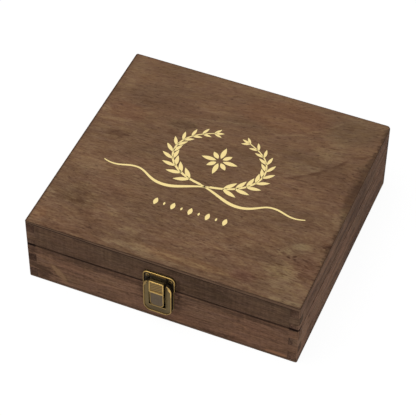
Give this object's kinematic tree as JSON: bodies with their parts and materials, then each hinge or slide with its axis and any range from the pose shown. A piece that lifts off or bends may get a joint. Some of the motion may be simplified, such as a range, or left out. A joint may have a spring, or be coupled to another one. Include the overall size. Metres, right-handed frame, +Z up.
{
  "type": "keepsake box",
  "caption": "Low rectangular wooden keepsake box with finger-jointed corners, a hinged lid, surface butt hinges at the back and a brass press latch at the front.",
  "frame": {"origin": "middle of the flat underside of the wooden case", "axes": "+Z up, the latch faces -Y, the hinges are at +Y, +X is right when facing the latch"},
  "size_m": [0.25, 0.2437, 0.07],
  "materials": {
    "lid_veneer": "walnut-stained veneer, satin",
    "lid_wood": "dark walnut stain, satin",
    "base_wood": "reddish walnut stain, satin",
    "base_veneer": "walnut-stained veneer, satin",
    "antique_brass": "antiqued: dark in the recesses, bright on the rims",
    "spring_steel": "dull spring steel",
    "gold_print": "pale gold surface print"
  },
  "bodies": {
    "base": {"base_panel": "base_veneer", "base_front_board": "base_wood", "base_back_board": "base_wood", "base_left_board": "base_wood", "base_right_board": "base_wood", "hinge_left_base_leaf": "antique_brass", "hinge_right_base_leaf": "antique_brass", "hinge_left_pin": "antique_brass", "hinge_right_pin": "antique_brass", "hinge_base_screws": "antique_brass", "latch_base_plate": "antique_brass", "latch_base_screws": "antique_brass", "latch_shield": "antique_brass", "latch_pin": "antique_brass", "latch_spring": "spring_steel"},
    "lid": {"lid_panel": "lid_veneer", "lid_front_rail": "lid_wood", "lid_back_rail": "lid_wood", "lid_left_rail": "lid_wood", "lid_right_rail": "lid_wood", "hinge_left_lid_leaf": "antique_brass", "hinge_right_lid_leaf": "antique_brass", "hinge_lid_screws": "antique_brass", "latch_lid_plate": "antique_brass", "latch_lid_screws": "antique_brass"},
    "latch_lever": {"latch_lever": "antique_brass"}
  },
  "joints": [
    {"name": "lid_hinge", "type": "hinge", "parent": "base", "child": "lid", "pos_m": [0, 0.1182, 0.04215], "axis": [-1, 0, 0], "range_deg": [0, 180]},
    {"name": "latch_press", "type": "hinge", "parent": "base", "child": "latch_lever", "pos_m": [0, -0.1189, 0.034], "axis": [1, 0, 0], "range_deg": [0, 12], "stiffness_Nm_per_rad": 0.02, "springref_deg": -14.32, "deforming": ["latch_spring"]}
  ]
}
